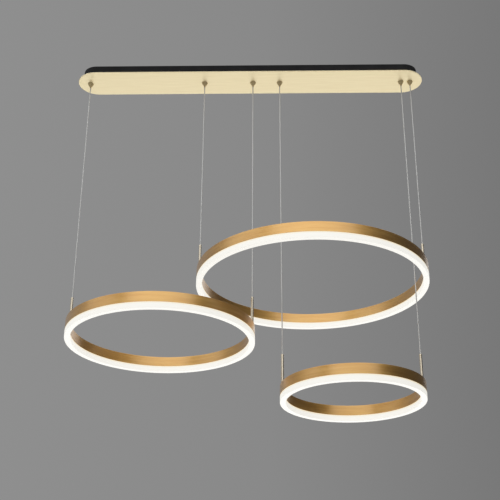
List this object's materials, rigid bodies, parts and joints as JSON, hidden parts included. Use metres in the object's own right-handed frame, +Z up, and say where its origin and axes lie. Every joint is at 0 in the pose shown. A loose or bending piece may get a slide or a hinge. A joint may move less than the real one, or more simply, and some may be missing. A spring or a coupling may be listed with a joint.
{
  "type": "led ring chandelier",
  "caption": "Long oval ceiling canopy with level lit rings of different size, hung at stepped heights on thin wires through cable grippers.",
  "frame": {"origin": "middle of the canopy's ceiling plane, which lies on the ceiling", "axes": "+X along the canopy, +Y to its back, +Z up into the ceiling"},
  "size_m": [0.818, 0.4999, 0.815],
  "materials": {
    "gold_canopy": "pale champagne gold plating over steel, fine brushed along its length",
    "gold_ring": "gold anodised aluminium, brushed round the ring",
    "black_steel": "satin black powder coat",
    "zinc_steel": "bright zinc plate",
    "black_screws": "black zinc",
    "brass_fitting": "turned brass, satin",
    "opal": "opal diffuser, lit warm white",
    "led_board": "white solder mask",
    "wire": "clear jacket over a stranded conductor",
    "driver_case": "white flame-proof plastic",
    "terminal": "natural nylon"
  },
  "bodies": {
    "canopy": {"ceiling_bracket": "zinc_steel", "canopy_tray": "black_steel", "canopy_plate": "gold_canopy", "lock_screws": "black_screws", "terminal_block": "terminal", "gripper_nuts": "zinc_steel", "driver_big": "driver_case", "driver_medium": "driver_case", "driver_small": "driver_case", "grippers_big": "brass_fitting", "grippers_medium": "brass_fitting", "grippers_small": "brass_fitting"},
    "release_big_left": {"plunger_big_left": "brass_fitting"},
    "release_big_right": {"plunger_big_right": "brass_fitting"},
    "big_wires": {"wires_big": "wire"},
    "big_ring": {"rods_big": "gold_ring", "channel_big": "gold_ring", "led_boards_big": "led_board", "diffuser_big": "opal"},
    "release_medium_left": {"plunger_medium_left": "brass_fitting"},
    "release_medium_right": {"plunger_medium_right": "brass_fitting"},
    "medium_wires": {"wires_medium": "wire"},
    "medium_ring": {"rods_medium": "gold_ring", "channel_medium": "gold_ring", "led_boards_medium": "led_board", "diffuser_medium": "opal"},
    "release_small_left": {"plunger_small_left": "brass_fitting"},
    "release_small_right": {"plunger_small_right": "brass_fitting"},
    "small_wires": {"wires_small": "wire"},
    "small_ring": {"rods_small": "gold_ring", "channel_small": "gold_ring", "led_boards_small": "led_board", "diffuser_small": "opal"}
  },
  "joints": [
    {"name": "press_big_left", "type": "slide", "parent": "canopy", "child": "release_big_left", "axis": [0, 0, 1], "range_m": [0, 0.002], "stiffness_N_per_m": 400, "springref_m": -0.001},
    {"name": "press_big_right", "type": "slide", "parent": "canopy", "child": "release_big_right", "axis": [0, 0, 1], "range_m": [0, 0.002], "stiffness_N_per_m": 400, "springref_m": -0.001},
    {"name": "height_big", "type": "slide", "parent": "canopy", "child": "big_wires", "axis": [0, 0, 1], "range_m": [-0.04, 0.4], "deforming": ["wires_big"]},
    {"name": "tilt_big", "type": "hinge", "parent": "big_wires", "child": "big_ring", "pos_m": [0.1365, 0, -0.4555], "axis": [1, 0, 0], "range_deg": [-15, 15]},
    {"name": "press_medium_left", "type": "slide", "parent": "canopy", "child": "release_medium_left", "axis": [0, 0, 1], "range_m": [0, 0.002], "stiffness_N_per_m": 400, "springref_m": -0.001},
    {"name": "press_medium_right", "type": "slide", "parent": "canopy", "child": "release_medium_right", "axis": [0, 0, 1], "range_m": [0, 0.002], "stiffness_N_per_m": 400, "springref_m": -0.001},
    {"name": "height_medium", "type": "slide", "parent": "canopy", "child": "medium_wires", "axis": [0, 0, 1], "range_m": [-0.5, 0.04], "deforming": ["wires_medium"]},
    {"name": "tilt_medium", "type": "hinge", "parent": "medium_wires", "child": "medium_ring", "pos_m": [-0.1865, 0, -0.5805], "axis": [1, 0, 0], "range_deg": [-15, 15]},
    {"name": "press_small_left", "type": "slide", "parent": "canopy", "child": "release_small_left", "axis": [0, 0, 1], "range_m": [0, 0.002], "stiffness_N_per_m": 400, "springref_m": -0.001},
    {"name": "press_small_right", "type": "slide", "parent": "canopy", "child": "release_small_right", "axis": [0, 0, 1], "range_m": [0, 0.002], "stiffness_N_per_m": 400, "springref_m": -0.001},
    {"name": "height_small", "type": "slide", "parent": "canopy", "child": "small_wires", "axis": [0, 0, 1], "range_m": [-0.4, 0.64], "deforming": ["wires_small"]},
    {"name": "tilt_small", "type": "hinge", "parent": "small_wires", "child": "small_ring", "pos_m": [0.215, 0, -0.7105], "axis": [1, 0, 0], "range_deg": [-15, 15]}
  ]
}
